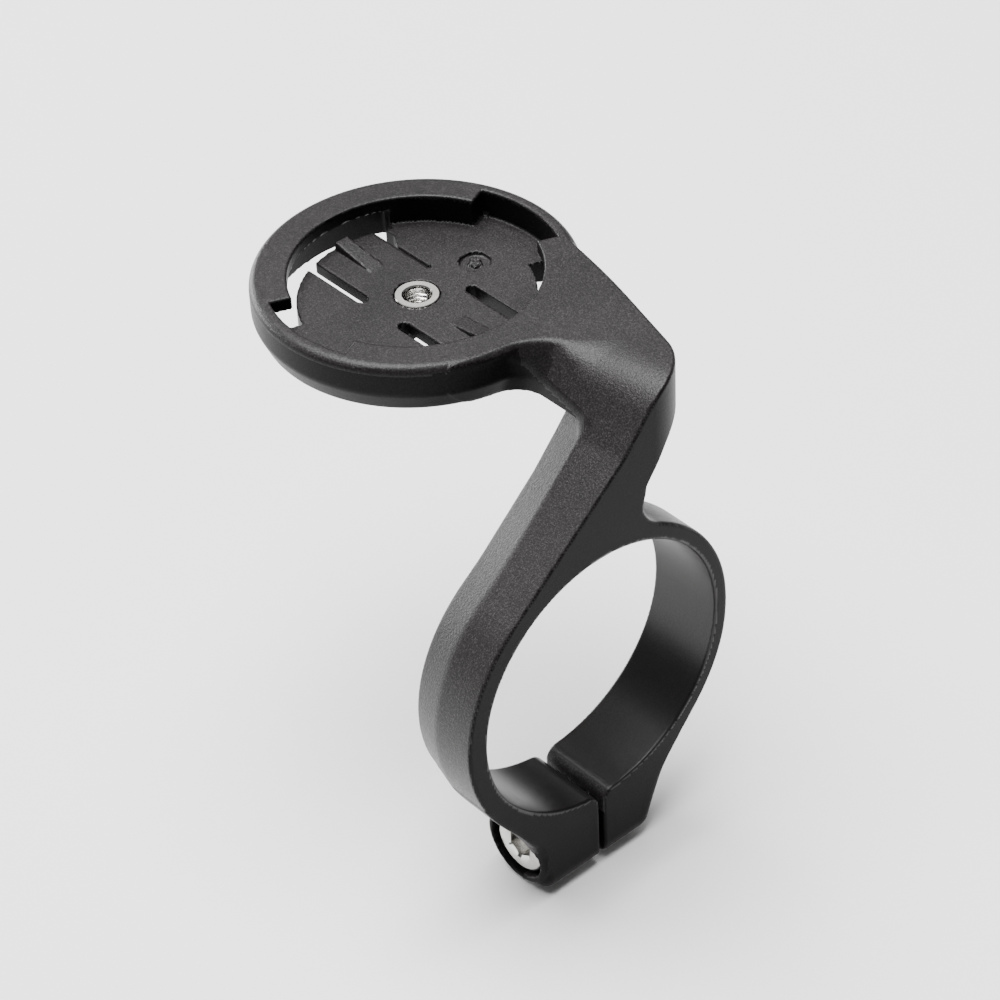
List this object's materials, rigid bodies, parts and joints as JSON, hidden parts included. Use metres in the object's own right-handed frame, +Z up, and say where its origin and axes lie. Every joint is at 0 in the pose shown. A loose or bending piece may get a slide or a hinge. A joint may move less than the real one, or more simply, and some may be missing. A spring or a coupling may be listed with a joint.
{
  "type": "handlebar computer mount",
  "caption": "Moulded arm with a split handlebar clamp and a round quarter-turn socket for a cycling computer, with clamp bolt and threaded insert.",
  "frame": {"origin": "centre of the handlebar clamp bore, in the middle of the ring's width", "axes": "+Y along the handlebar towards the socket, +Z up and square to the socket's top face"},
  "size_m": [0.0398, 0.0491, 0.0588],
  "materials": {
    "moulded_plastic": "fine spark texture, smooth on the split sides",
    "stainless_steel": "turned, satin"
  },
  "bodies": {
    "mount": {"socket": "moulded_plastic", "arm": "moulded_plastic", "clamp_band": "moulded_plastic", "threaded_insert": "stainless_steel"},
    "jaw": {"clamp_jaw": "moulded_plastic", "clamp_nut": "stainless_steel"},
    "bolt": {"clamp_bolt": "stainless_steel"},
    "far_tongue": {"far_detent_tongue": "moulded_plastic"},
    "near_tongue": {"near_detent_tongue": "moulded_plastic"}
  },
  "joints": [
    {"name": "bolt_turn", "type": "hinge", "parent": "mount", "child": "bolt", "pos_m": [0, 0, -0.0212], "axis": [1, 0, 0], "range_deg": [-360, 270]},
    {"name": "jaw_close", "type": "hinge", "parent": "mount", "child": "jaw", "pos_m": [0.00901, 0, 0.01442], "axis": [0, 1, 0], "range_deg": [-1.2, 0.9]},
    {"name": "far_tongue_flex", "type": "hinge", "parent": "mount", "child": "far_tongue", "pos_m": [0.00425, 0.03009, 0.0284], "axis": [-1, 0, 0], "range_deg": [0, 5], "stiffness_Nm_per_rad": 2.2},
    {"name": "near_tongue_flex", "type": "hinge", "parent": "mount", "child": "near_tongue", "pos_m": [0.00425, 0.02459, 0.0284], "axis": [1, 0, 0], "range_deg": [0, 5], "stiffness_Nm_per_rad": 2.2}
  ],
  "couplings": [
    {"joint": "jaw_close", "follows": "bolt_turn", "ratio": 0.003128}
  ]
}
